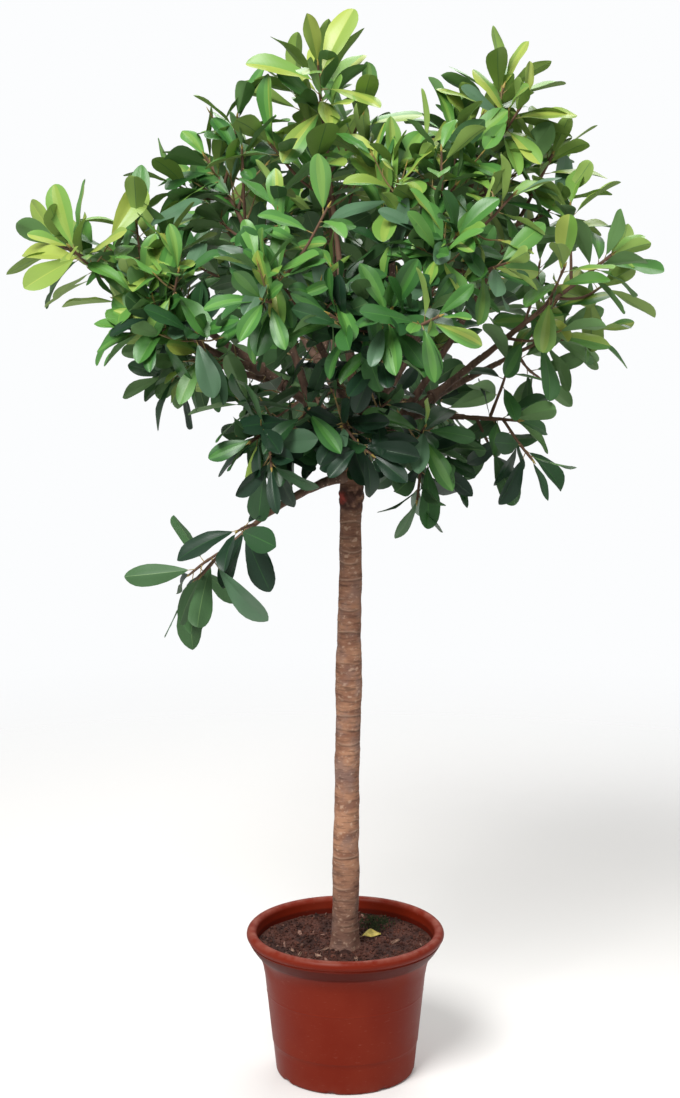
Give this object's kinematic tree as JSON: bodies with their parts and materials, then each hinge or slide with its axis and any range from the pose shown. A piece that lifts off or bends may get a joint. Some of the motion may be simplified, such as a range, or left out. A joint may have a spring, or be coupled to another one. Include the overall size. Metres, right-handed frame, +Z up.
{
  "type": "potted ficus tree",
  "caption": "Standard ficus tree with a bare trunk and a round, open crown of glossy spoon-shaped leaves, growing in a plain round plastic nursery pot of soil.",
  "frame": {"origin": "centre of the pot's flat underside", "axes": "+Z up along the trunk, -Y towards the viewer of the picture, +X to the viewer's right"},
  "size_m": [1.0666, 0.9421, 1.7917],
  "materials": {
    "pot": "terracotta-coloured moulded plastic, low sheen",
    "soil": "dry potting soil with husks and bark crumbs",
    "bark": "thin grey-brown bark with fine cross rings",
    "foliage": "leathery green leaves with a waxy gloss"
  },
  "bodies": {
    "root": {"pot": "pot", "soil": "soil", "trunk": "bark", "bough_top_left": "bark", "bough_top_right": "bark", "bough_right_arm": "bark", "bough_left_arm": "bark", "bough_front_left": "bark", "bough_back_left": "bark", "bough_back_right": "bark", "bough_centre_front": "bark", "bough_low_right": "bark", "bough_droop": "bark", "bough_low_left": "bark", "bough_back_low": "bark", "bough_low_front": "bark", "bough_upper_left": "bark", "bough_left_low": "bark", "bough_left_hang": "bark", "bough_upper_mid": "bark", "bough_front_right": "bark", "bough_upper_right": "bark", "bough_right": "bark", "bough_right_low": "bark", "bough_back_high": "bark", "bough_back": "bark", "bough_back_low_right": "bark", "foliage_top_left": "foliage", "foliage_top_right": "foliage", "foliage_right_arm": "foliage", "foliage_left_arm": "foliage", "foliage_front_left": "foliage", "foliage_back_left": "foliage", "foliage_back_right": "foliage", "foliage_centre_front": "foliage", "foliage_low_right": "foliage", "foliage_droop": "foliage", "foliage_low_left": "foliage", "foliage_back_low": "foliage", "foliage_low_front": "foliage", "foliage_upper_left": "foliage", "foliage_left_low": "foliage", "foliage_left_hang": "foliage", "foliage_upper_mid": "foliage", "foliage_front_right": "foliage", "foliage_upper_right": "foliage", "foliage_right": "foliage", "foliage_right_low": "foliage", "foliage_back_high": "foliage", "foliage_back": "foliage", "foliage_back_low_right": "foliage"}
  },
  "joints": []
}
